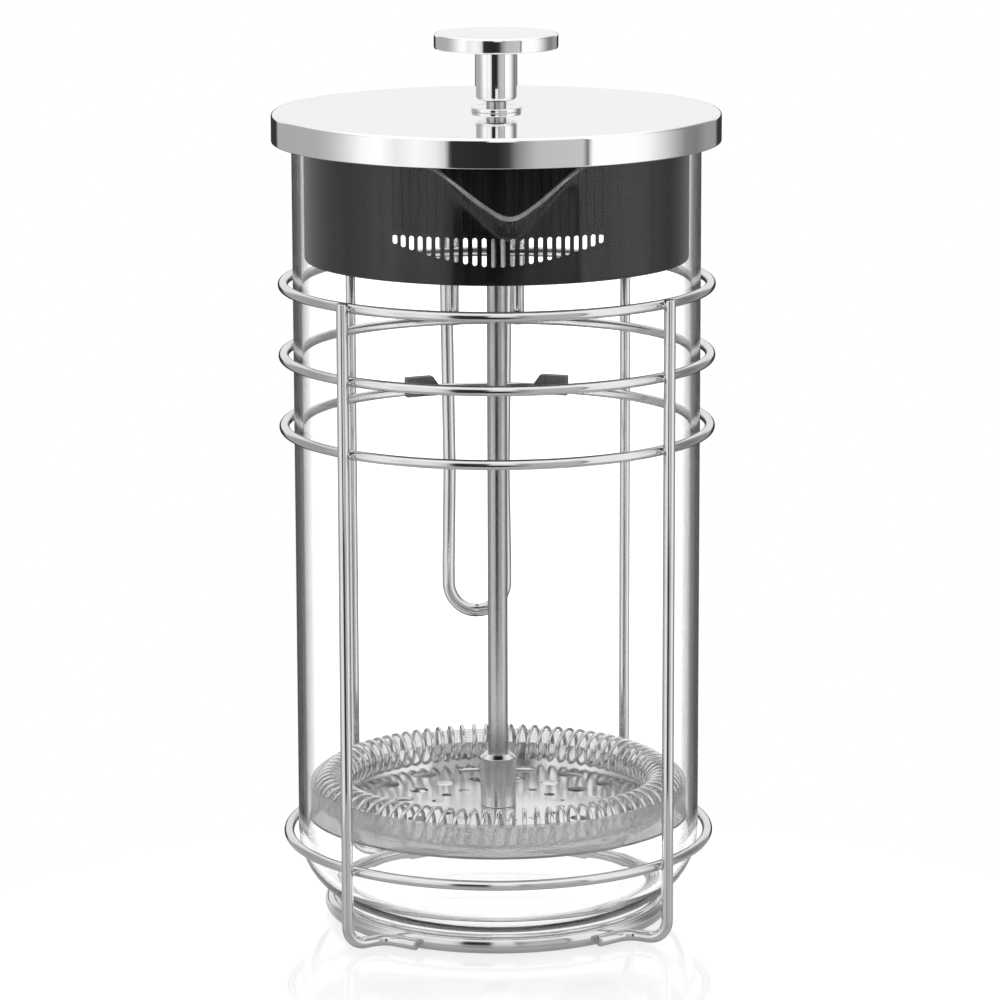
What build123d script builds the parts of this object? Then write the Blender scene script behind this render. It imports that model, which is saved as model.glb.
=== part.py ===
"""French press: glass beaker in a wire frame, with a lid, a strainer collar and a plunger.

Millimetres. The origin is on the beaker's axis, at the surface that the base ring stands on.
+Z is up, the spout points to -Y and the handle to +Y.
"""
from build123d import *
from math import cos, radians, sin, sqrt
import os

os.makedirs("parts", exist_ok=True)

# ---- driving dimensions ------------------------------------------------------------------
beaker_r = 48.0             # outside of the glass
glass_wall = 2.0
rim_z = 187.5               # top of the glass
glass_bottom_z = 3.15
glass_floor = 3.0
shoulder_r = 17.0           # outside radius of the glass where wall turns into bottom

spout_tip = (53.4, 175.4)   # radius and height of the pouring lip
spout_root_z = 169.4        # where the spout starts to leave the wall
spout_half_width = 20.0     # of the spout's inside, a little above the rim
spout_above = 3.0           # height above the rim at which that width is reached
spout_slope = 1.5           # run of the lip per millimetre of rise, towards its corners
spout_chord_y = -36.0       # where the sides of the spout meet the inside of the wall
spout_root_half_width = 0.6
spout_root_depth = 5.5      # of the spout's pointed lower end, inwards from the glass

ring_wire_r = 1.2
ring_r = 50.35              # centre line of the four belt rings
upper_ring_z = (152.3, 135.4, 118.4)
lower_ring_z = 19.5
base_wire_r = 2.3
base_ring_r = 39.5
base_ring_z = 2.25          # a little under the wire radius, so the ring has a flat to stand on

upright_wire_r = 1.375
weld_bite = 0.12            # how far welded wires sink into each other
upright_r = ring_r + ring_wire_r + upright_wire_r - weld_bite
upright_top_z = upper_ring_z[0] + ring_wire_r + 0.2
front_upright_angle = 45.1  # from the spout
rear_upright_angle = 41.2   # from the handle
foot_z = 1.9                # centre of the bent foot
foot_inner_r = 43.25
foot_turn = 3.6             # degrees from the upright to the place where the foot meets the ring
foot_sweep = 12.0           # degrees that the foot then runs along the ring
foot_bend = 4.5

handle_wire_r = 1.7
handle_y = 97.0             # centre of the grip
handle_top_z = 163.0
handle_low_z = 51.1
handle_end_z = 133.8        # where the wire ends, on the back of the second ring
handle_top_half = 8.3       # half of the spacing of the two grip wires, top, waist and bulb
handle_waist_half = 7.25
handle_bulb_half = 7.65
handle_waist_z = 88.0
handle_bulb_z = 64.0
handle_mount_half = 8.25
handle_bends = (9.0, 13.0, 150.0, 60.0)    # radii, from the top of the mount to the bulb
handle_bend_slack = 0.05        # by which the lowest bend's radius is less than its half width

bumper_angle = 19.4         # from the handle
bumper_width = 8.4
bumper_height = 4.8
bumper_low_z = 117.1
bumper_slant = (1.4, 2.0)   # width and height of the corner cut off on the side towards the handle
bumper_gap = 0.3            # to the glass
bumper_depth = 2.35         # from the side next to the glass to the outer side

lid_r = 52.7
lid_top_z = 192.9
lid_skirt_z = 186.0
lid_sheet = 0.8
lid_edge_r = 0.75

rod_r = 2.375
rod_end_z = 21.0
rod_top_z = 205.0
rod_thread_r = 1.95
rod_thread = 6.0            # length of the thread inside the hub
rod_end_chamfer = 0.4

bushing_flange_r = 6.0
bushing_body_r = 4.0
bushing_flange = 1.0
bushing_edge_r = 0.45
bushing_low_z = 185.6
rod_clearance = 0.05
nut_height = 2.2
nut_across_flats = 12.0

collar_r = 45.2
collar_wall = 1.8
collar_low_z = 158.4
collar_flange_r = 50.8
collar_web = 1.6
collar_edge_r = 1.4         # outside, at the lower end
collar_lip_r = 0.3          # inside, at the lower end
part_gap = 0.3              # left between pieces that move past each other
slot_count = 24
slot_width = 1.05
slot_pitch = 2.675          # degrees
slot_top_z = 169.5
slot_end_depth = 2.1        # height of the outermost slot
slot_mid_depth = 7.0        # height of the middle slots
slot_taper = 1.5            # power by which the slots get shorter towards the ends
slot_reach = 10.5           # of the cut that makes all the slots in one direction
plane_gap = 1.0             # from the wall to the planes that its cuts start from
groove_depth = 0.35         # of the grooves above the slots
groove_top_z = 186.8
collar_turn = -2.8          # where the middle of the slots stands, in degrees from the spout

knob_r = 14.55
knob_disc = 3.6
knob_low_z = 195.3
knob_neck_r = 4.95
knob_disc_z = 207.5
knob_edge_r = 0.7
knob_foot_r = 1.2

mesh_r = 45.2
mesh_low_z = 24.4
mesh_high_z = 32.6
mesh_sheet = 0.4
mesh_edge_r = 0.35
plate_r = 39.6
plate_sheet = 0.6
plate_flange_z = 30.5
plate_rows = ((15.0, 1.3), (23.2, 2.3), (33.0, 3.3))    # radius of a row, radius of its holes
plate_row_holes = 16
plate_hole_turn = 8.45      # degrees
plate_clearance = 0.05      # between the thread and the plates on it
hub_r = 4.35
hub_top_z = 38.2
hub_chamfer = 0.9
coil_r = 39.9               # centre line of the spring that runs round the filter
coil_loop_r = 4.6
coil_z = 30.45
coil_sheet = 0.4
coil_opening = 3.2          # width of the slit under the C section
cross_plate_r = 36.0
cross_sheet = 0.8
cross_holes = 6
cross_hole_r = 8.0
cross_row_r = 21.0
hub_nut_flats = 7.0
thread_end = 0.6            # of the rod, below the nut
beyond = 5.0                # how far cutting shapes reach past the piece that they cut


def polar(radius, angle, z):
    """A point at an angle in degrees from -Y, turning towards +X."""
    return (radius * sin(radians(angle)), -radius * cos(radians(angle)), z)


# ---- wire frame --------------------------------------------------------------------------
with BuildPart() as base_ring:
    with BuildSketch(Plane.XZ):
        with Locations((base_ring_r, base_ring_z)):
            Circle(base_wire_r)
    revolve(axis=Axis.Z)
    split(bisect_by=Plane.XY, keep=Keep.TOP)
base_ring.part.label = "base_ring"
export_step(base_ring.part, "parts/base_ring.step")


def belt_ring(name, z):
    """One of the rings that run round the glass."""
    with BuildPart() as ring:
        with BuildSketch(Plane.XZ):
            with Locations((ring_r, z)):
                Circle(ring_wire_r)
        revolve(axis=Axis.Z)
    ring.part.label = name
    export_step(ring.part, f"parts/{name}.step")


belt_ring("lower_ring", lower_ring_z)
belt_ring("upper_ring_1", upper_ring_z[0])
belt_ring("upper_ring_2", upper_ring_z[1])
belt_ring("upper_ring_3", upper_ring_z[2])


def upright(name, side, angle):
    """A straight wire whose lower end bends in and runs along the base ring.

    side is +1 for a front wire, whose angle is from -Y, and -1 for a rear one, mirrored to +Y.
    """
    turn = -foot_turn if angle > 0 else foot_turn
    sweep_turn = -foot_sweep if angle > 0 else foot_sweep
    points = [
        polar(upright_r, angle, upright_top_z),
        polar(upright_r, angle, foot_z),
        polar(foot_inner_r, angle + turn, foot_z),
        polar(foot_inner_r, angle + turn + sweep_turn, foot_z),
    ]
    points = [(x, side * y, z) for x, y, z in points]
    with BuildPart() as wire:
        with BuildLine() as path:
            FilletPolyline(*points, radius=foot_bend)
        with BuildSketch(Plane(origin=path.line @ 0, z_dir=path.line % 0)):
            Circle(upright_wire_r)
        sweep(path=path.line)
    wire.part.label = name
    export_step(wire.part, f"parts/{name}.step")


upright("upright_front_left", 1, -front_upright_angle)
upright("upright_front_right", 1, front_upright_angle)
upright("upright_rear_left", -1, -rear_upright_angle)
upright("upright_rear_right", -1, rear_upright_angle)


def bumper(name, angle):
    """A clip on the third ring that keeps the glass off the wire, at an angle from the handle."""
    inner_r = beaker_r + bumper_gap
    turn = radians(180 + angle)
    side = -1 if angle > 0 else 1
    half = side * bumper_width / 2
    facing = Plane(
        origin=polar(inner_r - bumper_depth, 180 + angle, bumper_low_z),
        x_dir=(cos(turn), sin(turn), 0),
        z_dir=polar(1, 180 + angle, 0),
    )
    with BuildPart() as clip:
        with BuildSketch(facing):
            Polygon(
                (-half, 0),
                (half, 0),
                (half, bumper_height - bumper_slant[1]),
                (half - side * bumper_slant[0], bumper_height),
                (-half, bumper_height),
                align=None,
            )
        extrude(amount=3 * bumper_depth)
        with BuildSketch(Plane.XZ):
            with Locations((inner_r + bumper_depth / 2, bumper_low_z + bumper_height / 2)):
                Rectangle(bumper_depth, bumper_height)
        revolve(axis=Axis.Z, mode=Mode.INTERSECT)
        with BuildSketch(Plane.XZ):
            with Locations((ring_r, upper_ring_z[2])):
                Circle(ring_wire_r)
        revolve(axis=Axis.Z, mode=Mode.SUBTRACT)
    clip.part.label = name
    export_step(clip.part, f"parts/{name}.step")


bumper("bumper_right", -bumper_angle)
bumper("bumper_left", bumper_angle)

handle_mount_r = ring_r + ring_wire_r + handle_wire_r - weld_bite
handle_mount_y = sqrt(handle_mount_r**2 - handle_mount_half**2)
half_route = [
    (handle_mount_half, handle_mount_y, handle_end_z),
    (handle_mount_half, handle_mount_y, handle_top_z),
    (handle_top_half, handle_y, handle_top_z),
    (handle_waist_half, handle_y, handle_waist_z),
    (handle_bulb_half, handle_y, handle_bulb_z),
    (handle_bulb_half, handle_y, handle_low_z),
]
half_bends = [*handle_bends, handle_bulb_half - handle_bend_slack]
with BuildPart() as handle_wire:
    with BuildLine() as grip:
        FilletPolyline(
            *half_route,
            *[(-x, y, z) for x, y, z in reversed(half_route)],
            radius=half_bends + half_bends[::-1],
        )
    with BuildSketch(Plane(origin=grip.line @ 0, z_dir=grip.line % 0)):
        Circle(handle_wire_r)
    sweep(path=grip.line)
handle_wire.part.label = "handle_wire"
export_step(handle_wire.part, "parts/handle_wire.step")

# ---- glass beaker ------------------------------------------------------------------------
shoulder_x = beaker_r - shoulder_r
inner_r = beaker_r - glass_wall
inner_shoulder = shoulder_r - glass_floor
floor_z = glass_bottom_z + glass_floor
lip_slope = (spout_tip[0] - beaker_r) / (spout_tip[1] - spout_root_z)
lip_half_width = 30.0       # of the V that is cut into the rim, taken past the rim's height


def spout_wedge(shift):
    """The pointed outward bulge of the spout, moved inwards by shift to make its inside."""
    low_z = spout_root_z + shift
    high_z = rim_z + spout_above
    reach = beaker_r + lip_slope * (high_z - low_z) - shift
    with BuildPart() as wedge:
        with BuildSketch(Plane.XY.offset(low_z)):
            Polygon(
                (0, -beaker_r + shift),
                (spout_root_half_width, -beaker_r + spout_root_depth),
                (-spout_root_half_width, -beaker_r + spout_root_depth),
                align=None,
            )
        with BuildSketch(Plane.XY.offset(high_z)):
            Polygon(
                (0, -reach),
                (spout_half_width + glass_wall - shift, spout_chord_y),
                (-spout_half_width - glass_wall + shift, spout_chord_y),
                align=None,
            )
        loft()
    return wedge.part


with BuildPart() as glass_beaker:
    with BuildSketch(Plane.XZ):
        with BuildLine():
            Line((0, glass_bottom_z), (shoulder_x, glass_bottom_z))
            RadiusArc(
                (shoulder_x, glass_bottom_z),
                (beaker_r, glass_bottom_z + shoulder_r),
                -shoulder_r,
            )
            Line((beaker_r, glass_bottom_z + shoulder_r), (beaker_r, rim_z))
            Line((beaker_r, rim_z), (0, rim_z))
            Line((0, rim_z), (0, glass_bottom_z))
        make_face()
    revolve(axis=Axis.Z)
    add(spout_wedge(0))
    with BuildSketch(Plane.XZ):
        with BuildLine():
            Line((0, floor_z), (inner_r - inner_shoulder, floor_z))
            RadiusArc(
                (inner_r - inner_shoulder, floor_z),
                (inner_r, floor_z + inner_shoulder),
                -inner_shoulder,
            )
            Line((inner_r, floor_z + inner_shoulder), (inner_r, rim_z + beyond))
            Line((inner_r, rim_z + beyond), (0, rim_z + beyond))
            Line((0, rim_z + beyond), (0, floor_z))
        make_face()
    revolve(axis=Axis.Z, mode=Mode.SUBTRACT)
    add(spout_wedge(glass_wall), mode=Mode.SUBTRACT)
    with BuildSketch(Plane.XZ.offset(-spout_chord_y)):
        Polygon(
            (0, spout_tip[1]),
            (lip_half_width, spout_tip[1] + lip_half_width / spout_slope),
            (lip_half_width, rim_z + 2 * beyond),
            (-lip_half_width, rim_z + 2 * beyond),
            (-lip_half_width, spout_tip[1] + lip_half_width / spout_slope),
            align=None,
        )
    extrude(amount=beaker_r, mode=Mode.SUBTRACT)
    with BuildSketch(Plane.XY.offset(rim_z)):
        Circle(2 * beaker_r)
    extrude(amount=2 * beyond, mode=Mode.SUBTRACT)
glass_beaker.part.label = "glass_beaker"
export_step(glass_beaker.part, "parts/glass_beaker.step")

# ---- lid ---------------------------------------------------------------------------------
with BuildPart() as lid_cover:
    with BuildSketch(Plane.XZ):
        with Locations(((bushing_body_r + lid_r) / 2, lid_top_z - lid_sheet / 2)):
            Rectangle(lid_r - bushing_body_r, lid_sheet)
        with Locations((lid_r - lid_sheet / 2, (lid_top_z + lid_skirt_z) / 2)):
            Rectangle(lid_sheet, lid_top_z - lid_skirt_z)
    revolve(axis=Axis.Z)
    fillet(lid_cover.edges().group_by(Axis.Z)[-1].sort_by(SortBy.RADIUS)[-1], radius=lid_edge_r)
lid_cover.part.label = "lid_cover"
export_step(lid_cover.part, "parts/lid_cover.step")

web_top_z = lid_top_z - lid_sheet - part_gap
web_low_z = web_top_z - collar_web
nut_top_z = web_low_z - part_gap

with BuildPart() as lid_bushing:
    with BuildSketch(Plane.XY.offset(lid_top_z)):
        Circle(bushing_flange_r)
    extrude(amount=bushing_flange)
    fillet(lid_bushing.edges().group_by(Axis.Z)[-1], radius=bushing_edge_r)
    with BuildSketch(Plane.XY.offset(bushing_low_z)):
        Circle(bushing_body_r)
    extrude(amount=lid_top_z - bushing_low_z)
    with BuildSketch(Plane.XY.offset(bushing_low_z)):
        Circle(rod_r + rod_clearance)
    extrude(amount=lid_top_z + bushing_flange - bushing_low_z, mode=Mode.SUBTRACT)
lid_bushing.part.label = "lid_bushing"
export_step(lid_bushing.part, "parts/lid_bushing.step")

with BuildPart() as bushing_nut:
    with BuildSketch(Plane.XY.offset(nut_top_z - nut_height)):
        RegularPolygon(nut_across_flats / 2, 6, major_radius=False)
        Circle(bushing_body_r, mode=Mode.SUBTRACT)
    extrude(amount=nut_height)
bushing_nut.part.label = "bushing_nut"
export_step(bushing_nut.part, "parts/bushing_nut.step")


slot_places = [index - (slot_count - 1) / 2 for index in range(slot_count)]


def wall_plane(angle, z):
    """A plane just outside the collar's wall, facing outwards, at an angle from the spout."""
    turn = radians(angle)
    return Plane(
        origin=polar(collar_r + plane_gap, angle, z),
        x_dir=(cos(turn), sin(turn), 0),
        z_dir=polar(1, angle, 0),
    )


with BuildPart() as strainer_collar:
    with BuildSketch(Plane.XZ):
        with BuildLine():
            bore = bushing_body_r + part_gap
            flange_low = rim_z + part_gap
            inner = collar_r - collar_wall
            FilletPolyline(
                (inner, web_low_z),
                (inner, collar_low_z),
                (collar_r, collar_low_z),
                (collar_r, flange_low),
                radius=[collar_lip_r, collar_edge_r],
            )
            Line((collar_r, flange_low), (collar_flange_r, flange_low))
            Line((collar_flange_r, flange_low), (collar_flange_r, web_top_z))
            Line((collar_flange_r, web_top_z), (bore, web_top_z))
            Line((bore, web_top_z), (bore, web_low_z))
            Line((bore, web_low_z), (inner, web_low_z))
        make_face()
    revolve(axis=Axis.Z)
    with BuildSketch(wall_plane(collar_turn, slot_top_z)):
        for place in slot_places:
            shortening = abs(2 * place / slot_count) ** slot_taper
            depth = slot_mid_depth - (slot_mid_depth - slot_end_depth) * shortening
            with Locations((collar_r * sin(radians(place * slot_pitch)), -depth / 2)):
                SlotOverall(depth, slot_width, rotation=90)
    extrude(amount=-slot_reach, mode=Mode.SUBTRACT)
    groove = groove_top_z - slot_top_z - slot_width
    for place in slot_places:
        with BuildSketch(wall_plane(collar_turn + place * slot_pitch, groove_top_z - groove / 2)):
            Rectangle(slot_width, groove)
        extrude(amount=-plane_gap - groove_depth, mode=Mode.SUBTRACT)
strainer_collar.part.label = "strainer_collar"
export_step(strainer_collar.part, "parts/strainer_collar.step")

# ---- plunger -----------------------------------------------------------------------------
with BuildPart() as knob:
    with BuildSketch(Plane.XY.offset(knob_low_z)):
        Circle(knob_neck_r)
    extrude(amount=knob_disc_z - knob_low_z)
    fillet(knob.edges().group_by(Axis.Z)[0], radius=knob_foot_r)
    with BuildSketch(Plane.XY.offset(knob_disc_z)):
        Circle(knob_r)
    extrude(amount=knob_disc)
    fillet(knob.edges().group_by(Axis.Z)[-1], radius=knob_edge_r)
    with BuildSketch(Plane.XY.offset(knob_low_z)):
        Circle(rod_r)
    extrude(amount=rod_top_z - knob_low_z, mode=Mode.SUBTRACT)
knob.part.label = "knob"
export_step(knob.part, "parts/knob.step")

hub_low_z = mesh_low_z + mesh_sheet + plate_sheet
with BuildPart() as plunger_rod:
    with BuildSketch(Plane.XY.offset(rod_end_z)):
        Circle(rod_thread_r)
    extrude(amount=hub_low_z + rod_thread - rod_end_z)
    chamfer(plunger_rod.edges().group_by(Axis.Z)[0], length=rod_end_chamfer)
    with BuildSketch(Plane.XY.offset(hub_low_z + rod_thread)):
        Circle(rod_r)
    extrude(amount=rod_top_z - hub_low_z - rod_thread)
plunger_rod.part.label = "plunger_rod"
export_step(plunger_rod.part, "parts/plunger_rod.step")

with BuildPart() as rod_hub:
    with BuildSketch(Plane.XY.offset(hub_low_z)):
        Circle(hub_r)
    extrude(amount=hub_top_z - hub_low_z)
    chamfer(rod_hub.edges().group_by(Axis.Z)[-1], length=hub_chamfer)
    with BuildSketch(Plane.XY.offset(hub_low_z)):
        Circle(rod_thread_r)
    extrude(amount=rod_thread, mode=Mode.SUBTRACT)
    with BuildSketch(Plane.XY.offset(hub_low_z + rod_thread)):
        Circle(rod_r)
    extrude(amount=hub_top_z - hub_low_z, mode=Mode.SUBTRACT)
rod_hub.part.label = "rod_hub"
export_step(rod_hub.part, "parts/rod_hub.step")

plate_low_z = mesh_low_z + mesh_sheet
with BuildPart() as spiral_plate:
    with BuildSketch(Plane.XY.offset(plate_low_z)):
        Circle(plate_r)
        Circle(rod_thread_r + plate_clearance, mode=Mode.SUBTRACT)
        for row_r, hole_r in plate_rows:
            with PolarLocations(row_r, plate_row_holes, start_angle=plate_hole_turn):
                Circle(hole_r, mode=Mode.SUBTRACT)
    extrude(amount=plate_sheet)
    with BuildSketch(Plane.XY.offset(plate_low_z)):
        Circle(plate_r + plate_sheet)
        Circle(plate_r, mode=Mode.SUBTRACT)
    extrude(amount=plate_flange_z - plate_low_z)
spiral_plate.part.label = "spiral_plate"
export_step(spiral_plate.part, "parts/spiral_plate.step")

with BuildPart() as filter_mesh:
    with BuildSketch(Plane.XY.offset(mesh_low_z)):
        Circle(mesh_r)
        Circle(rod_thread_r + plate_clearance, mode=Mode.SUBTRACT)
    extrude(amount=mesh_sheet)
    with BuildSketch(Plane.XY.offset(mesh_low_z)):
        Circle(mesh_r)
        Circle(mesh_r - mesh_sheet, mode=Mode.SUBTRACT)
    extrude(amount=mesh_high_z - mesh_low_z)
    fillet(filter_mesh.edges().group_by(Axis.Z)[0].sort_by(SortBy.RADIUS)[-1], radius=mesh_edge_r)
filter_mesh.part.label = "filter_mesh"
export_step(filter_mesh.part, "parts/filter_mesh.step")

# The spring's turns are one thin C-shaped ring here, open below, where the plate's flange enters.
with BuildPart() as coil_spring:
    with BuildSketch(Plane.XZ):
        with Locations((coil_r, coil_z)):
            Circle(coil_loop_r)
            Circle(coil_loop_r - coil_sheet, mode=Mode.SUBTRACT)
        with Locations((coil_r, coil_z - coil_loop_r)):
            Rectangle(coil_opening, coil_opening, mode=Mode.SUBTRACT)
    revolve(axis=Axis.Z)
coil_spring.part.label = "coil_spring"
export_step(coil_spring.part, "parts/coil_spring.step")

with BuildPart() as cross_plate:
    with BuildSketch(Plane.XY.offset(mesh_low_z - cross_sheet)):
        Circle(cross_plate_r)
        Circle(rod_thread_r + plate_clearance, mode=Mode.SUBTRACT)
        with PolarLocations(cross_row_r, cross_holes):
            Circle(cross_hole_r, mode=Mode.SUBTRACT)
    extrude(amount=cross_sheet)
cross_plate.part.label = "cross_plate"
export_step(cross_plate.part, "parts/cross_plate.step")

with BuildPart() as hub_nut:
    with BuildSketch(Plane.XY.offset(rod_end_z + thread_end)):
        RegularPolygon(hub_nut_flats / 2, 6, major_radius=False)
        Circle(rod_thread_r, mode=Mode.SUBTRACT)
    extrude(amount=mesh_low_z - cross_sheet - rod_end_z - thread_end)
hub_nut.part.label = "hub_nut"
export_step(hub_nut.part, "parts/hub_nut.step")
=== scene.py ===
"""French press: glass beaker in a chrome wire frame. The looks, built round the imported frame.

Sizes are in millimetres and become metres where meshes are made. Axes are the frame's own:
+Z up, spout to -Y, handle to +Y, origin under the beaker's axis.
"""
from math import atan2, cos, pi, radians, sin, sqrt, tan

import bmesh
import bpy
from mathutils import Matrix, Vector


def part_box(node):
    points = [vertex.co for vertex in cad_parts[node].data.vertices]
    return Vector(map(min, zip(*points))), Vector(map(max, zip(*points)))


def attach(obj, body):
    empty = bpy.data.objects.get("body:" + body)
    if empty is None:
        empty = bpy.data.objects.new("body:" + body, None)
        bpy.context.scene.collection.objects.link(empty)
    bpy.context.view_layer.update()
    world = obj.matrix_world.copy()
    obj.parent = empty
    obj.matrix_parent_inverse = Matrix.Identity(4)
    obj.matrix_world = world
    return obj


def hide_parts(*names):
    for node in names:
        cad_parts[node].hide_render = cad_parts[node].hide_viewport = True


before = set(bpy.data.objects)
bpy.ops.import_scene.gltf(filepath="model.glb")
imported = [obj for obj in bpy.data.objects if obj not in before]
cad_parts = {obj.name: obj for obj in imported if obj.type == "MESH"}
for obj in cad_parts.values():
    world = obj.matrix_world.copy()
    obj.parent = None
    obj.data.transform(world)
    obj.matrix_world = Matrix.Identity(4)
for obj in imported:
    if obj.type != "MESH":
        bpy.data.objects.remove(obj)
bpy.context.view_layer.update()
mm = 0.001
on_axis = 1e-6       # a radius under this counts as a point on the axis
cut_edge = 0.25      # rounding of a wire's cut ends
straight = 1e-4      # a corner that turns by less than twice this, in radians, stays as it is
edge_steps = 6       # across the rounding of a turned piece's corner


# ---- sizes read from the frame -----------------------------------------------------------
def size_of(node):
    """Lowest corner, highest corner of a CAD node in millimetres."""
    low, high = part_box(node)
    return low / mm, high / mm


def ring_of(node):
    """(centre-line radius, centre height, wire radius) of a ring that lies flat."""
    low, high = size_of(node)
    wire = (high.z - low.z) / 2
    return high.x - wire, (high.z + low.z) / 2, wire


# ---- mesh helpers ------------------------------------------------------------------------
def mesh_object(name, points, faces):
    """A smooth-shaded mesh object from points in millimetres."""
    mesh = bpy.data.meshes.new(name)
    mesh.from_pydata([(x * mm, y * mm, z * mm) for x, y, z in points], [], faces)
    mesh.validate()
    bm = bmesh.new()
    bm.from_mesh(mesh)
    bmesh.ops.recalc_face_normals(bm, faces=bm.faces)
    bm.to_mesh(mesh)
    bm.free()
    smooth(mesh)
    return placed(name, mesh)


def smooth(mesh):
    for polygon in mesh.polygons:
        polygon.use_smooth = True


def placed(name, data):
    """A new object in the scene that shows this data."""
    made = bpy.data.objects.new(name, data)
    bpy.context.scene.collection.objects.link(made)
    return made


def rounded(corners, radii, steps):
    """The corners of a line, each replaced by a tangent arc of its own radius (0 keeps it sharp)."""
    corners = [Vector(tuple(c) + (0,) * (3 - len(c))) for c in corners]
    out = [corners[0]]
    for before, here, after, radius in zip(corners, corners[1:], corners[2:], radii):
        a = (before - here).normalized()
        b = (after - here).normalized()
        half = a.angle(b) / 2
        if radius <= 0 or half > pi / 2 - straight:
            out.append(here)
            continue
        centre = here + (a + b).normalized() * radius / sin(half)
        start = here + a * radius / tan(half) - centre
        end = here + b * radius / tan(half) - centre
        turn = start.angle(end)
        for step in range(steps + 1):
            t = step / steps
            out.append(centre + (start * sin((1 - t) * turn) + end * sin(t * turn)) / sin(turn))
    out.append(corners[-1])
    return out


def band(low, high):
    """Faces between two closed rows of point numbers. Faces at a pole become triangles."""
    faces = []
    count = len(low)
    for i in range(count):
        j = (i + 1) % count
        face = [low[i], low[j], high[j], high[i]]
        face = [v for k, v in enumerate(face) if v != face[k - 1]]
        if len(face) > 2:
            faces.append(face)
    return faces


def lathe(name, profile, steps=192, closed=True):
    """A profile of (radius, height) points turned about Z. Points on the axis become poles."""
    rows, points, faces = [], [], []
    for radius, height in profile:
        if radius < on_axis:
            rows.append([len(points)] * steps)
            points.append((0, 0, height))
            continue
        first = len(points)
        rows.append([first + i for i in range(steps)])
        for i in range(steps):
            angle = 2 * pi * i / steps
            points.append((radius * cos(angle), radius * sin(angle), height))
    pairs = list(zip(rows, rows[1:]))
    if closed and rows[0][0] != rows[-1][0]:
        pairs.append((rows[-1], rows[0]))
    for low, high in pairs:
        faces += band(low, high)
    return mesh_object(name, points, faces)


def turned(name, corners, radii, steps=192):
    """A lathe piece whose closed outline has rounded corners: one radius for each corner."""
    loop = [corners[-1]] + list(corners) + [corners[0]]
    line = rounded(loop, radii, edge_steps)[1:-1]
    piece = lathe(name, [(max(p.x, 0), p.y) for p in line], steps)
    even = piece.modifiers.new("even_shading", "WEIGHTED_NORMAL")
    even.weight = 100
    return piece


def carried_frames(tangents):
    """Two directions across a route at each point, turned as little as possible along it."""
    side = tangents[0].orthogonal().normalized()
    frames = []
    for tangent in tangents:
        side = (side - tangent * side.dot(tangent)).normalized()
        frames.append((side.copy(), tangent.cross(side)))
    return frames


def tube(name, route, radius, sides=20, closed=False):
    """A round wire along a route of points, with slightly rounded cut ends."""
    route = [Vector(p) for p in route]
    count = len(route)
    tangents = []
    for i in range(count):
        a = route[(i - 1) % count] if closed or i > 0 else route[i]
        b = route[(i + 1) % count] if closed or i < count - 1 else route[i]
        tangents.append((b - a).normalized())
    frames = carried_frames(tangents)
    twist = 0.0
    if closed:
        last = (frames[-1][0] - tangents[0] * frames[-1][0].dot(tangents[0])).normalized()
        twist = atan2(last.dot(frames[0][1]), last.dot(frames[0][0]))
    rows = [(route[i], i, 1) for i in range(count)]
    if not closed:
        inset = min(cut_edge, radius / 2)
        chamfer = [(0, 1 - inset / radius), (0.3 * inset, 1 - 0.3 * inset / radius), (inset, 1)]
        start = [(route[0] + tangents[0] * depth, 0, scale) for depth, scale in chamfer]
        end = [(route[-1] - tangents[-1] * depth, count - 1, scale) for depth, scale in chamfer]
        rows = start + rows[1:-1] + end[::-1]
    points, faces = [], []
    for centre, i, scale in rows:
        for k in range(sides):
            angle = 2 * pi * k / sides - twist * i / count
            offset = frames[i][0] * cos(angle) + frames[i][1] * sin(angle)
            points.append(tuple(centre + offset * radius * scale))
    for row in range(len(rows) if closed else len(rows) - 1):
        after = (row + 1) % len(rows)
        for k in range(sides):
            m = (k + 1) % sides
            faces.append((row * sides + k, row * sides + m, after * sides + m, after * sides + k))
    if not closed:
        faces.append(tuple(range(sides)))
        faces.append(tuple((len(rows) - 1) * sides + k for k in range(sides)))
    return mesh_object(name, points, faces)


def circle_route(radius, z, steps=256):
    return [(radius * cos(2 * pi * i / steps), radius * sin(2 * pi * i / steps), z) for i in range(steps)]


def polar(radius, angle, z):
    """A point at an angle in degrees from -Y, turning towards +X."""
    return (radius * sin(radians(angle)), -radius * cos(radians(angle)), z)


def dress(piece, body, slot, material, *nodes):
    """Give a piece its material and the body it rides on, and hide the CAD nodes it stands for. The slot is
    not used.
    """
    piece.data.materials.clear()
    piece.data.materials.append(material)
    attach(piece, body)
    if nodes:
        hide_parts(*nodes)


def shade_cad(node, material, sharp_angle=35.0):
    """A CAD node whose shape is right stays, with a better material and smooth round faces."""
    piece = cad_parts[node]
    piece.data.materials.clear()
    piece.data.materials.append(material)
    smooth(piece.data)
    split = piece.modifiers.new("sharp_edges", "EDGE_SPLIT")
    split.split_angle = radians(sharp_angle)


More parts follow.
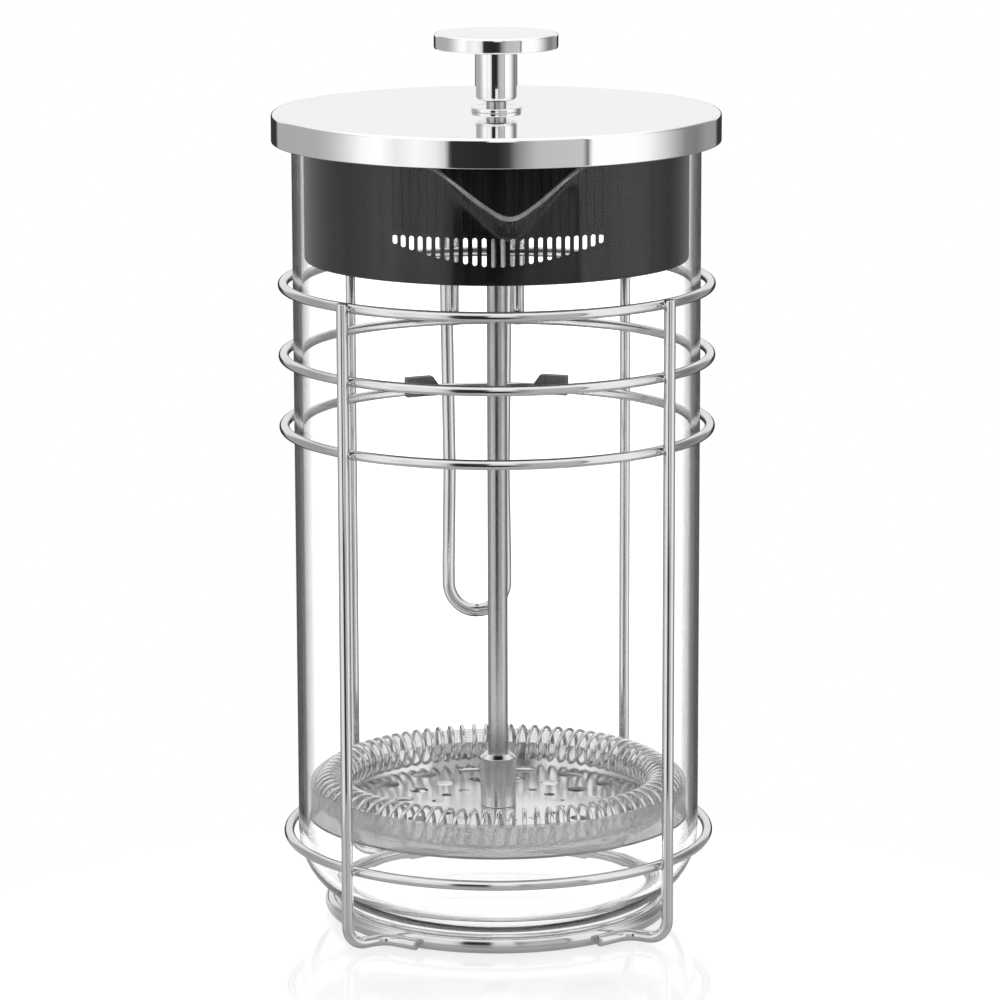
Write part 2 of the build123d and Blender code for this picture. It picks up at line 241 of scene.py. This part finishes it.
# ---- materials ---------------------------------------------------------------------------
class Nodes:
    """Short ways to add nodes to a tree. A socket given as a value is linked, a number is set."""

    def __init__(self, tree):
        self.tree = tree

    def node(self, kind, inputs=None, **settings):
        made = self.tree.nodes.new(kind)
        for key, value in settings.items():
            setattr(made, key, value)
        for key, value in (inputs or {}).items():
            if isinstance(value, bpy.types.NodeSocket):
                self.tree.links.new(value, made.inputs[key])
            else:
                made.inputs[key].default_value = value
        return made

    def math(self, operation, first, second=0.0, **settings):
        return self.node("ShaderNodeMath", {0: first, 1: second}, operation=operation, **settings).outputs[0]

    def step(self, value, low, high, at_low=0.0, at_high=1.0):
        """A value that goes from at_low to at_high while another goes from low to high."""
        inputs = {"Value": value, "From Min": low, "From Max": high, "To Min": at_low, "To Max": at_high}
        return self.node("ShaderNodeMapRange", inputs).outputs[0]

    def range(self, value, low, high):
        """A 0 to 1 value mapped to low..high, which may themselves be sockets."""
        return self.step(value, 0.0, 1.0, low, high)

    def split(self, coordinates):
        return self.node("ShaderNodeSeparateXYZ", {"Vector": coordinates}).outputs


class Shade(Nodes):
    """A node material with one Principled shader."""

    def __init__(self, name, **inputs):
        self.material = bpy.data.materials.new(name)
        self.material.use_nodes = True
        super().__init__(self.material.node_tree)
        self.shader = self.tree.nodes["Principled BSDF"]
        for key, value in inputs.items():
            self.shader.inputs[key.replace("_", " ")].default_value = value

    def place(self, scale=(1, 1, 1)):
        """Object coordinates, stretched by scale."""
        coordinates = self.node("ShaderNodeTexCoord").outputs["Object"]
        return self.node("ShaderNodeMapping", {"Vector": coordinates, "Scale": scale}).outputs[0]

    def noise(self, scale, stretch=(1, 1, 1), detail=3.0):
        inputs = {"Vector": self.place(stretch), "Scale": scale, "Detail": detail}
        return self.node("ShaderNodeTexNoise", inputs).outputs["Fac"]

    def tint(self, value, dark, light):
        """Noise, which keeps near its middle, spread over the colours from dark to light."""
        ramp = self.node("ShaderNodeValToRGB", {"Fac": value})
        for element, position, colour in zip(ramp.color_ramp.elements, (0.25, 0.75), (dark, light)):
            element.position = position
            element.color = (*colour, 1)
        return ramp.outputs[0]

    def set(self, key, socket):
        self.tree.links.new(socket, self.shader.inputs[key])

    def bump(self, height, strength, distance):
        inputs = {"Height": height, "Strength": strength, "Distance": distance}
        self.set("Normal", self.node("ShaderNodeBump", inputs).outputs[0])


drawn_streaks = (1, 1, 0.02)         # noise drawn out along Z
moulded_streaks = (1, 1, 0.03)
turned_streaks = (0.02, 0.02, 1)     # noise in thin level layers, like marks of turning
wire_pitch = 0.42                    # of the woven wire cloth


def bright_metal(name, dark, light, rough, scale=90.0, stretch=(1, 1, 1), bump=0.02):
    shade = Shade(name, Metallic=1.0)
    cloud = shade.noise(scale, stretch)
    shade.set("Base Color", shade.tint(cloud, (dark,) * 3, (light,) * 3))
    shade.set("Roughness", shade.range(cloud, *rough))
    shade.bump(shade.noise(scale * 6, stretch, 2.0), bump, 0.0002)
    return shade.material


def black_plastic_material():
    shade = Shade("black_plastic", Specular_IOR_Level=0.12)
    streak = shade.noise(300.0, moulded_streaks)
    shade.set("Base Color", shade.tint(streak, (0.003, 0.003, 0.003), (0.026, 0.025, 0.026)))
    shade.set("Roughness", shade.range(streak, 0.26, 0.42))
    shade.bump(streak, 0.12, 0.0003)
    return shade.material


def rubber_material():
    shade = Shade("grey_rubber")
    grain = shade.noise(900.0)
    shade.set("Base Color", shade.tint(grain, (0.07, 0.07, 0.07), (0.12, 0.12, 0.12)))
    shade.set("Roughness", shade.range(grain, 0.45, 0.65))
    shade.bump(grain, 0.2, 0.0001)
    return shade.material


def glass_material():
    """Clear glass. Seen edge on, its alpha falls, and some of what is behind shows unbent."""
    shade = Shade("clear_glass", Roughness=0.0, IOR=1.3, Transmission_Weight=1.0)
    edge = shade.node("ShaderNodeLayerWeight", {"Blend": 0.5}).outputs["Facing"]
    shade.set("Base Color", shade.tint(edge, (1.0, 1.0, 1.0), (0.97, 0.98, 0.978)))
    shade.set("Alpha", shade.step(edge, 0.70, 0.76, at_low=1.0, at_high=0.8))
    shade.bump(shade.noise(30.0, (1, 1, 0.3), 1.0), 0.015, 0.0005)
    return shade.material


def rim_material():
    """The fire-polished rim, which scatters a little light. Its colour, mottled from grey to white, is
    painted highlights and painted dark reflections.
    """
    shade = Shade("glass_rim_painted_highlights", IOR=1.47, Transmission_Weight=0.85)
    cloud = shade.noise(320.0)
    # Grey-to-white mottled colour: painted highlights and painted dark reflections on the rim.
    shade.set("Base Color", shade.tint(cloud, (0.45, 0.46, 0.46), (0.98, 0.99, 0.99)))
    shade.set("Roughness", shade.range(cloud, 0.05, 0.25))
    shade.bump(cloud, 0.3, 0.0006)
    return shade.material


def woven_material(radius):
    """Fine wire cloth: two crossing sets of wires with gaps that let light through."""
    shade = Shade("woven_steel", Metallic=0.2)
    xyz = shade.split(shade.node("ShaderNodeTexCoord").outputs["Object"])
    around = shade.math("ARCTAN2", xyz["Y"], xyz["X"])
    length = shade.math("MULTIPLY", around, radius * mm)

    def wave(distance):
        return shade.math("SINE", shade.math("MULTIPLY", distance, 2 * pi / (wire_pitch * mm)))

    wires = shade.math("MAXIMUM", wave(length), wave(xyz["Z"]))
    cover = shade.step(wires, -0.6, 0.3)
    shade.set("Alpha", shade.range(cover, 0.05, 0.42))
    shade.set("Base Color", shade.tint(shade.noise(200.0), (0.58, 0.58, 0.56), (0.70, 0.70, 0.68)))
    shade.set("Roughness", shade.range(cover, 0.5, 0.3))
    shade.bump(wires, 0.3, 0.0001)
    return shade.material


chrome_wire = bright_metal("chrome_wire", 0.68, 0.76, (0.07, 0.13))
polished_steel = bright_metal("polished_steel", 0.88, 0.92, (0.02, 0.05), 40.0)
spring_steel = bright_metal("spring_steel", 0.72, 0.80, (0.08, 0.16))
plate_steel = bright_metal("plate_steel", 0.84, 0.90, (0.12, 0.20), 60.0)
satin_steel = bright_metal("satin_steel", 0.49, 0.55, (0.20, 0.28), 300.0, drawn_streaks, 0.04)
turned_steel = bright_metal("turned_steel", 0.76, 0.84, (0.14, 0.22), 300.0, turned_streaks, 0.04)
# A dark metal for the thin ring that paints the shade and dark reflection under the filter mesh's lower
# edge.
painted_shade_steel = bright_metal("painted_shade_steel", 0.16, 0.22, (0.25, 0.35))
black_plastic = black_plastic_material()
grey_rubber = rubber_material()
clear_glass = glass_material()
rim_painted_highlights = rim_material()


# ---- wire frame --------------------------------------------------------------------------
weld_bite = 0.12         # how far welded wires sink into each other
bead_size = (1.5, 1.5, 0.62)
bead_bite = 0.05         # how far a bead's middle lies inside the ring's outside

ring_nodes = ("lower_ring", "upper_ring_1", "upper_ring_2", "upper_ring_3")
for node in ring_nodes:
    belt_r, belt_z, belt_wire = ring_of(node)
    dress(tube(f"{node}_wire", circle_route(belt_r, belt_z), belt_wire, closed=True),
          "frame", "chrome_wire", chrome_wire, node)

base_high = size_of("base_ring")[1]
base_wire = 2.3          # the ring stands on a flat, so its box doesn't give this
base_slack = 0.02        # by which the round wire is thinner, to stand on the table without the flat
base_route = circle_route(base_high.x - base_wire, base_high.z - base_wire)
dress(tube("base_ring_wire", base_route, base_wire - base_slack, sides=32, closed=True),
      "frame", "chrome_wire", chrome_wire, "base_ring")


def weld_bead(place):
    """The small fillet of metal that a spot weld squeezes out between two wires."""
    mesh = bpy.data.meshes.new("weld_bead")
    bm = bmesh.new()
    bmesh.ops.create_uvsphere(bm, u_segments=20, v_segments=12, radius=mm)
    bm.to_mesh(mesh)
    bm.free()
    smooth(mesh)
    bead = placed("weld_bead", mesh)
    bead.scale = bead_size
    bead.location = Vector(place) * mm
    dress(bead, "frame", "chrome_wire", chrome_wire)


upright_wire = 1.375
upright_r = belt_r + belt_wire + upright_wire - weld_bite
foot_z = 1.9
foot_r = 43.25
foot_bend = 4.5
foot_turn = 3.6          # degrees from the upright to where the foot meets the base ring
foot_sweep = 12.0        # degrees that the foot then runs along the ring
bead_r = belt_r + belt_wire - bead_bite
for node, side, angle in (
    ("upright_front_left", 1, -45.1),
    ("upright_front_right", 1, 45.1),
    ("upright_rear_left", -1, -41.2),
    ("upright_rear_right", -1, 41.2),
):
    turn = -1 if angle > 0 else 1
    corners = [
        polar(upright_r, angle, size_of(node)[1].z),
        polar(upright_r, angle, foot_z),
        polar(foot_r, angle + turn * foot_turn, foot_z),
        polar(foot_r, angle + turn * (foot_turn + foot_sweep), foot_z),
    ]
    corners = [(x, side * y, z) for x, y, z in corners]
    dress(tube(f"{node}_wire", rounded(corners, [foot_bend] * 2, 12), upright_wire),
          "frame", "chrome_wire", chrome_wire, node)
    for ring in ring_nodes:
        x, y, z = polar(bead_r, angle, ring_of(ring)[1])
        weld_bead((x, side * y, z))

handle_low, handle_high = size_of("handle_wire")
handle_wire = 1.7
mount_half = 8.25        # half the distance between the two welded legs
mount_end_z = 133.8
mount_y = sqrt((belt_r + belt_wire + handle_wire - weld_bite) ** 2 - mount_half**2)
grip_y = handle_high.y - handle_wire
grip_top_z = handle_high.z - handle_wire
grip_half = 8.3
waist_half = 7.25
waist_z = 88.0
turn_half = 7.65         # half the width of the U at the grip's lower end
turn_z = 64.0
half_route = [           # half of the wire: up from its welded end, out, down the grip, to the U
    (mount_half, mount_y, mount_end_z),
    (mount_half, mount_y, grip_top_z),
    (grip_half, grip_y, grip_top_z),
    (waist_half, grip_y, waist_z),
    (turn_half, grip_y, turn_z),
    (turn_half, grip_y, handle_low.z + handle_wire),
]
half_bends = [9.0, 13.0, 150.0, 60.0, 7.6]
handle_route = rounded(
    half_route + [(-x, y, z) for x, y, z in reversed(half_route)],
    half_bends + half_bends[::-1], 14,
)
dress(tube("handle_grip", handle_route, handle_wire, sides=24),
      "frame", "chrome_wire", chrome_wire, "handle_wire")

shade_cad("bumper_left", grey_rubber)
shade_cad("bumper_right", grey_rubber)

# ---- glass beaker ------------------------------------------------------------------------
glass_low, glass_high = size_of("glass_beaker")
glass_r = glass_high.x
glass_wall = 2.0
rim_z = glass_high.z
rim_round = 1.0          # height of the rounded top of the wall
bottom_z = glass_low.z
bottom_thick = 3.0
bottom_rows = (0, 12, 22)    # radii of the rows of points across the flat bottom
shoulder = 17.0          # radius of the outside between bottom and wall
lip_z = 175.4            # lowest point of the rim
lip_out = -glass_low.y - glass_r
lip_rise = 1 / 1.3       # of the rim beside the spout's middle
root_z = 169.4           # where the spout starts to leave the wall
root_rise = (rim_z - root_z) / ((rim_z - lip_z) / lip_rise)
lip_soft = 2.5           # widths over which the spout's lines round off: at the rim's lowest point,
lip_end_soft = 2.2       # where the lip meets the level rim,
root_soft = 2.0          # at the spout's lowest point,
root_end_soft = 1.0      # and where the spout leaves the wall
crowding = 1.5           # over 1, the rows of points lie closer together towards the rim


def soft_abs(x, width):
    """The size of x, rounded off near zero."""
    return sqrt(x * x + width * width) - width


def soft_plus(x, width):
    """x where it is well above zero and nothing where it is well below."""
    return (x + sqrt(x * x + width * width)) / 2


def rim_height(angle):
    """Height of the rim at an angle from the spout."""
    if cos(angle) <= 0:
        return rim_z
    below = rim_z - lip_z - lip_rise * soft_abs(glass_r * sin(angle), lip_soft)
    return rim_z - soft_plus(below, lip_end_soft)


def bulge(angle, z):
    """How far the glass stands out of its round shape at the spout."""
    if cos(angle) <= 0:
        return 0.0
    slope = lip_out / (lip_z - root_z)
    above_root = z - root_z - root_rise * soft_abs(glass_r * sin(angle), root_soft)
    return soft_plus(slope * above_root, root_end_soft)


def cup_bottom(z, wall_r, corner_r, arc_steps=12):
    """(radius, height) points from the axis over a flat bottom and round the corner to the wall."""
    points = [(r, z) for r in bottom_rows]
    for step in range(arc_steps + 1):
        angle = pi / 2 * step / arc_steps
        points.append((wall_r - corner_r + corner_r * sin(angle), z + corner_r * (1 - cos(angle))))
    return points


def beaker_mesh(columns=360, wall_rows=70, rim_steps=8):
    """The glass as one skin: up the outside, over the rim, down the inside."""
    outer = cup_bottom(bottom_z, glass_r, shoulder)
    inner = cup_bottom(bottom_z + bottom_thick, glass_r - glass_wall, shoulder - bottom_thick)
    wall_start = outer[-1][1]
    points, rows = [], []

    def add_row(radius_and_height):
        rows.append([len(points) + i for i in range(columns)])
        for i in range(columns):
            angle = 2 * pi * i / columns
            radius, z = radius_and_height(angle)
            points.append((radius * sin(angle), -radius * cos(angle), z))

    def add_bottom_row(radius, z):
        if radius < on_axis:
            rows.append([len(points)] * columns)
            points.append((0, 0, z))
        else:
            add_row(lambda angle: (radius, z))

    def add_wall_row(inwards, part, lift=0.0):
        """A row at a part (0 to 1) of the wall's height, some way inwards from the outside."""
        def at(angle):
            z = wall_start + part * (rim_height(angle) - rim_round - wall_start) + lift
            return glass_r + bulge(angle, z) - inwards, z
        add_row(at)

    crowded = [1 - (1 - row / wall_rows) ** crowding for row in range(1, wall_rows + 1)]
    for radius, z in outer:
        add_bottom_row(radius, z)
    for part in crowded:
        add_wall_row(0.0, part)
    for step in range(1, rim_steps):
        angle = pi * step / rim_steps
        add_wall_row(glass_wall / 2 * (1 - cos(angle)), 1.0, rim_round * sin(angle))
    for part in reversed(crowded):
        add_wall_row(glass_wall, part)
    for radius, z in reversed(inner):
        add_bottom_row(radius, z)
    faces = []
    for low, high in zip(rows, rows[1:]):
        faces += band(low, high)
    return mesh_object("beaker_glass", points, faces)


beaker_glass = beaker_mesh()
dress(beaker_glass, "beaker", "clear_glass", clear_glass, "glass_beaker")
# The rim's faces get the rim material, whose colour paints highlights and dark reflections.
beaker_glass.data.materials.append(rim_painted_highlights)
rim_depth = 0.95         # of the glass that has the rim's material
for face in beaker_glass.data.polygons:
    angle = atan2(face.center.x, -face.center.y)
    face.material_index = int(face.center.z / mm > rim_height(angle) - rim_depth)

# ---- lid ---------------------------------------------------------------------------------
lid_low, lid_high = size_of("lid_cover")
lid_r, skirt_z, lid_z = lid_high.x, lid_low.z, lid_high.z
sheet = 0.8
lid_hole_r = 3.9
dress(
    turned(
        "lid_shell",
        [(lid_hole_r, lid_z - sheet), (lid_hole_r, lid_z), (lid_r, lid_z), (lid_r, skirt_z),
         (lid_r - sheet, skirt_z), (lid_r - sheet, lid_z - sheet)],
        [0.1, 0.1, 0.9, 0.3, 0.3, 0.3],
    ),
    "lid", "polished_steel", polished_steel, "lid_cover",
)
bushing_low, bushing_high = size_of("lid_bushing")
bushing_bore_r = 2.43
bushing_r = 4.0
dress(
    turned(
        "bushing_turned",
        [(bushing_bore_r, bushing_low.z), (bushing_bore_r, bushing_high.z),
         (bushing_high.x, bushing_high.z), (bushing_high.x, lid_z),
         (bushing_r, lid_z), (bushing_r, bushing_low.z)],
        [0.1, 0.2, 0.45, 0.2, 0.1, 0.3],
    ),
    "lid", "polished_steel", polished_steel, "lid_bushing",
)
shade_cad("bushing_nut", turned_steel)
shade_cad("strainer_collar", black_plastic, 30.0)

# ---- plunger -----------------------------------------------------------------------------
knob_low, knob_high = size_of("knob")
knob_r = knob_high.x
knob_disc_z = knob_high.z - 3.6
rod_hole_r = 2.38
rod_hole_z = knob_high.z - 4
neck_r = 4.95
dress(
    turned(
        "knob_turned",
        [(rod_hole_r, knob_low.z), (rod_hole_r, rod_hole_z), (0, rod_hole_z), (0, knob_high.z),
         (knob_r, knob_high.z), (knob_r, knob_disc_z), (neck_r, knob_disc_z), (neck_r, knob_low.z)],
        [0.1, 0, 0, 0, 0.7, 0.5, 0.4, 1.2],
    ),
    "plunger", "polished_steel", polished_steel, "knob",
)
rod_low, rod_high = size_of("plunger_rod")
thread_r = 1.9
thread_top_z = 31.0
dress(
    turned(
        "rod_drawn",
        [(0, rod_low.z), (thread_r, rod_low.z), (thread_r, thread_top_z),
         (rod_high.x, thread_top_z), (rod_high.x, rod_high.z), (0, rod_high.z)],
        [0, 0.4, 0, 0, 0.2, 0], steps=48,
    ),
    "plunger", "satin_steel", satin_steel, "plunger_rod",
)
hub_low, hub_high = size_of("rod_hub")
hub_r = hub_high.x
hub_slope_in = 1.1       # of the bevel round its top
hub_slope_down = 0.9
hub_bore_r = 1.96
hub_step_z = 31.5        # where the bore widens from the thread's size to the rod's
dress(
    turned(
        "hub_turned",
        [(hub_bore_r, hub_low.z), (hub_r, hub_low.z), (hub_r, hub_high.z - hub_slope_down),
         (hub_r - hub_slope_in, hub_high.z), (rod_hole_r, hub_high.z),
         (rod_hole_r, hub_step_z), (hub_bore_r, hub_step_z)],
        [0.1, 0.4, 0.2, 0.2, 0.1, 0, 0], steps=96,
    ),
    "plunger", "satin_steel", turned_steel, "rod_hub",
)

coil_low, coil_high = size_of("coil_spring")
coil_wire = 0.45
coil_slit = 0.14         # the CAD ring is slit underneath, which takes twice this from its height
loop_r = (coil_high.z - coil_low.z) / 2 - coil_wire + coil_slit
coil_r = coil_high.x - loop_r - coil_wire
coil_z = coil_high.z - loop_r - coil_wire
coil_turns = 84
coil_steps = coil_turns * 20     # 20 points to each turn
coil_route = []
for step in range(coil_steps):
    way = 2 * pi * step / coil_steps
    loop = way * coil_turns
    reach = coil_r + loop_r * cos(loop)
    coil_route.append((reach * cos(way), reach * sin(way), coil_z + loop_r * sin(loop)))
dress(tube("spring_coil", coil_route, coil_wire, sides=8, closed=True),
      "plunger", "spring_steel", spring_steel, "coil_spring")

mesh_low, mesh_high = size_of("filter_mesh")
mesh_r = mesh_high.x
mesh_hole_r = 2.1
mesh_thick = 0.3
# A thin dark ring round the mesh dish's lower edge. It is painted shade and painted reflection, where the
# edge of the dish is in shadow.
shade_ring_in_r = mesh_r - 0.2
shade_ring_out_r = mesh_r + 0.03
shade_ring_z = mesh_low.z + 0.5
dress(
    turned(
        "mesh_dish",
        [(mesh_hole_r, mesh_low.z), (mesh_r, mesh_low.z), (mesh_r, mesh_high.z),
         (mesh_r - mesh_thick, mesh_high.z), (mesh_r - mesh_thick, mesh_low.z + mesh_thick),
         (mesh_hole_r, mesh_low.z + mesh_thick)],
        [0, 0.6, 0.1, 0.1, 0.3, 0], steps=256,
    ),
    "plunger", "woven_steel", woven_material(mesh_r), "filter_mesh",
)
dress(
    turned(
        "painted_shade_ring",
        [(shade_ring_in_r, mesh_low.z), (shade_ring_out_r, mesh_low.z), (shade_ring_out_r, shade_ring_z), (shade_ring_in_r, shade_ring_z)],
        [0.05, 0.1, 0.1, 0.05], steps=256,
    ),
    "plunger", "woven_steel", painted_shade_steel,
)
shade_cad("spiral_plate", plate_steel)
shade_cad("cross_plate", plate_steel)
shade_cad("hub_nut", turned_steel)


# ---- studio ------------------------------------------------------------------------------
floor_r = 150
floor_forward = 70       # from under the beaker to the disc's middle, towards the camera
floor_top = -0.02
floor_under = -0.2
floor_glow = 0.72        # as the camera sees it
floor_glow_glass = 1.1   # through the glass
floor_glow_mirror = 0.3  # in a mirror, where it is also partly metallic
floor_metal_mirror = 0.7


def studio_floor():
    """A thin pale disc, whose light depends on the kind of ray that reaches it."""
    profile = [(0, floor_top), (floor_r, floor_top), (floor_r, floor_under), (0, floor_under)]
    floor = lathe("floor", profile, 96, closed=False)
    floor.location.y = -floor_forward * mm
    shade = Shade("floor_white", Roughness=0.06, Emission_Color=(1, 1, 1, 1))
    shade.set("Base Color", shade.tint(shade.noise(8.0), (0.17, 0.17, 0.17), (0.19, 0.19, 0.19)))
    seen = shade.node("ShaderNodeLightPath").outputs
    through = seen["Is Transmission Ray"]
    mirrored = shade.math("SUBTRACT", seen["Is Glossy Ray"], through, use_clamp=True)
    unmirrored = shade.range(through, floor_glow, floor_glow_glass)
    shade.set("Emission Strength", shade.range(mirrored, unmirrored, floor_glow_mirror))
    shade.set("Metallic", shade.range(mirrored, 0.0, floor_metal_mirror))
    for polygon in floor.data.polygons:
        polygon.use_smooth = False
    floor.data.materials.append(shade.material)


camera_azimuth = -3.307      # degrees from -Y, towards +X
camera_distance = 1081.34
camera_height = 322.15
camera_tilt = 11.61
camera_yaw = 3.34            # of the view direction, from +Y towards +X
camera_roll = -0.16
focal_length = 167.17        # on a 36 mm sensor


def studio_camera():
    data = bpy.data.cameras.new("camera")
    data.sensor_width = 36
    data.lens = focal_length
    data.clip_start = 0.01
    camera = placed("camera", data)
    tilt, yaw, roll = radians(camera_tilt), radians(camera_yaw), radians(camera_roll)
    ahead = Vector((sin(yaw) * cos(tilt), cos(yaw) * cos(tilt), -sin(tilt)))
    level = Vector((cos(yaw), -sin(yaw), 0))
    above = level.cross(ahead)
    right = level * cos(roll) + above * sin(roll)
    up = above * cos(roll) - level * sin(roll)
    turn = Matrix((right, up, -ahead)).transposed().to_4x4()
    place = Vector(polar(camera_distance, camera_azimuth, camera_height)) * mm
    camera.matrix_world = Matrix.Translation(place) @ turn
    bpy.context.scene.camera = camera


# Brightness of the room's walls by azimuth. Azimuths are degrees from -Y towards +X. Heights are
# the Z of a direction of length 1. The dark stretches are black flags.
wall_brightness = (
    (-155, 0.04), (-152, 0.42), (-106, 0.45), (-95, 0.57), (-85, 0.78), (-75, 1.05), (-65, 1.12),
    (-55, 0.90), (-44, 1.05), (-34, 0.93), (-29, 0.7), (-26.5, 0.03), (-3, 0.02), (3, 0.06),
    (7, 0.25), (17, 0.54), (41, 0.60), (43.5, 0.12), (46, 1.1), (68, 1.12), (79, 1.04), (89, 0.78),
    (99, 0.50), (109, 0.26), (119, 0.22), (132, 0.33), (146, 0.33), (151, 0.04),
)


front_end = (9, 6)           # azimuths, to either side, over which the front end of the room begins
rear_end = (140, 150)        # and the rear end
flag_top = (0.02, 0.06)      # heights over which the walls of the two ends give way to white
ceiling = (0.45, 0.75)       # heights over which the walls give way to the ceiling
end_white = 0.93
ceiling_white = 1.15
backdrop_white = 1.6
strip_white = 1.1            # of two upright strips that are dimmer than the backdrop
strip_near = (147, 149)      # azimuths, to either side, over which a strip begins
strip_far = (160, 158)       # and ends


def grey(value):
    return (value, value, value, 1)


def studio_world():
    """A bright room with a few dark flags, given by direction: what polished metal reflects.

    The camera sees plain white, and a ray that has only gone through glass sees the backdrop.
    """
    world = bpy.data.worlds.new("studio")
    bpy.context.scene.world = world
    world.use_nodes = True
    world.node_tree.nodes.clear()
    sky = Nodes(world.node_tree)

    def blend(factor, low, high):
        inputs = {"Factor": factor, "A": low, "B": high}
        return sky.node("ShaderNodeMix", inputs, data_type="RGBA").outputs["Result"]

    def turned_past(low, high):
        """0 at the azimuth low, to either side, and 1 at the azimuth high."""
        return sky.step(sideways, radians(low), radians(high))

    way = sky.split(sky.node("ShaderNodeTexCoord").outputs["Generated"])
    height = way["Z"]
    azimuth = sky.math("ARCTAN2", way["X"], sky.math("MULTIPLY", way["Y"], -1))
    sideways = sky.math("ABSOLUTE", azimuth)
    round_the_room = sky.math("ADD", sky.math("MULTIPLY", azimuth, 1 / (2 * pi)), 0.5)
    room = sky.node("ShaderNodeValToRGB", {"Fac": round_the_room})
    elements = room.color_ramp.elements
    elements.remove(elements[-1])
    for index, (angle, value) in enumerate(wall_brightness):
        position = angle / 360 + 0.5
        element = elements.new(position) if index else elements[0]
        element.position = position
        element.color = grey(value)

    ends = sky.math("MAXIMUM", turned_past(*rear_end), turned_past(*front_end))
    over_flags = sky.math("MULTIPLY", ends, sky.step(height, *flag_top))
    walls = blend(over_flags, room.outputs[0], grey(end_white))
    walls = blend(sky.step(height, *ceiling), walls, grey(ceiling_white))
    strips = sky.math("MULTIPLY", turned_past(*strip_near), turned_past(*strip_far))
    backdrop = blend(strips, grey(backdrop_white), grey(strip_white))
    seen = sky.node("ShaderNodeLightPath").outputs
    reflected = sky.math("MAXIMUM", seen["Glossy Depth"], seen["Diffuse Depth"])
    unreflected = sky.math("LESS_THAN", reflected, 0.5)
    colour = blend(seen["Is Camera Ray"], blend(unreflected, walls, backdrop), grey(1.0))
    light = sky.node("ShaderNodeBackground", {"Color": colour})
    sky.node("ShaderNodeOutputWorld", {0: light.outputs[0]})


studio_floor()
studio_camera()
studio_world()
bpy.context.scene.view_settings.view_transform = "Standard"
